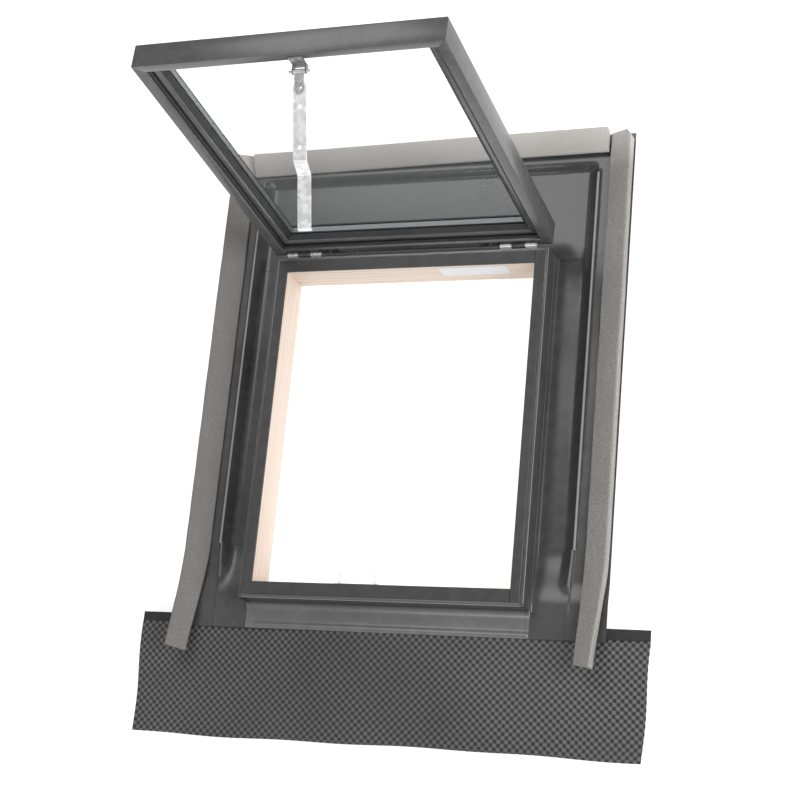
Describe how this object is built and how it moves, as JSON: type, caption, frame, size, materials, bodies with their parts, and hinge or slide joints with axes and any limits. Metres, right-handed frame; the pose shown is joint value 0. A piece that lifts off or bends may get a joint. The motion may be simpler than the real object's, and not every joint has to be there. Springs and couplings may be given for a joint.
{
  "type": "roof skylight",
  "caption": "Top-hung roof skylight, open: pine lining box, dark metal flashing with foam strips and embossed apron, double-glazed sash on two hinges with a perforated stay",
  "frame": {"origin": "Middle of the roof opening, on the plane of the lining box's lower edges.", "axes": "X across the window, Y up the roof slope, Z out of the roof."},
  "size_m": [0.808, 0.972, 0.6249],
  "materials": {
    "pine": "planed, clear",
    "sheet": "satin",
    "profile": "satin",
    "rubber": "matt",
    "foam": "matt foam",
    "zinc": "galvanised",
    "glass": "clear",
    "apron": "embossed",
    "plate": "plain"
  },
  "bodies": {
    "base": {"frame_stile_left": "pine", "frame_stile_right": "pine", "frame_head": "pine", "frame_sill": "pine", "frame_screws": "zinc", "frame_seal": "rubber", "blank_plate": "plate", "catch_plate": "zinc", "catch_pegs": "zinc", "catch_screws": "zinc", "flashing_head": "sheet", "flashing_side_left": "sheet", "flashing_side_right": "sheet", "flashing_corner_left": "sheet", "flashing_corner_right": "sheet", "flashing_sill": "sheet", "apron": "apron", "apron_hem": "apron", "foam_left": "foam", "foam_right": "foam", "foam_top": "foam", "hinge_frame_leaves": "zinc", "hinge_frame_screws": "zinc", "hinge_pins": "zinc"},
    "sash": {"hinge_sash_leaves": "zinc", "hinge_sash_screws": "zinc", "sash_rail_head": "profile", "sash_rail_foot": "profile", "sash_stile_left": "profile", "sash_stile_right": "profile", "corner_keys": "zinc", "sash_seal": "rubber", "glazing_gasket_inner": "rubber", "glazing_gasket_outer": "rubber", "pane_inner": "glass", "pane_outer": "glass", "glazing_spacer": "rubber", "setting_blocks": "rubber", "stay_bracket": "zinc", "bracket_screws": "zinc", "stay_pin": "zinc"},
    "stay": {"stay_leaf": "zinc", "stay_rivet": "zinc", "stay_bar": "zinc"}
  },
  "joints": [
    {"name": "sash_hinge", "type": "hinge", "parent": "base", "child": "sash", "pos_m": [0, 0.285, 0.0638], "axis": [1, 0, 0], "range_deg": [0, 96]},
    {"name": "stay_pivot", "type": "hinge", "parent": "sash", "child": "stay", "pos_m": [0.015, 0.33431, 0.59606], "axis": [1, 0, 0], "range_deg": [-22, 60]}
  ]
}
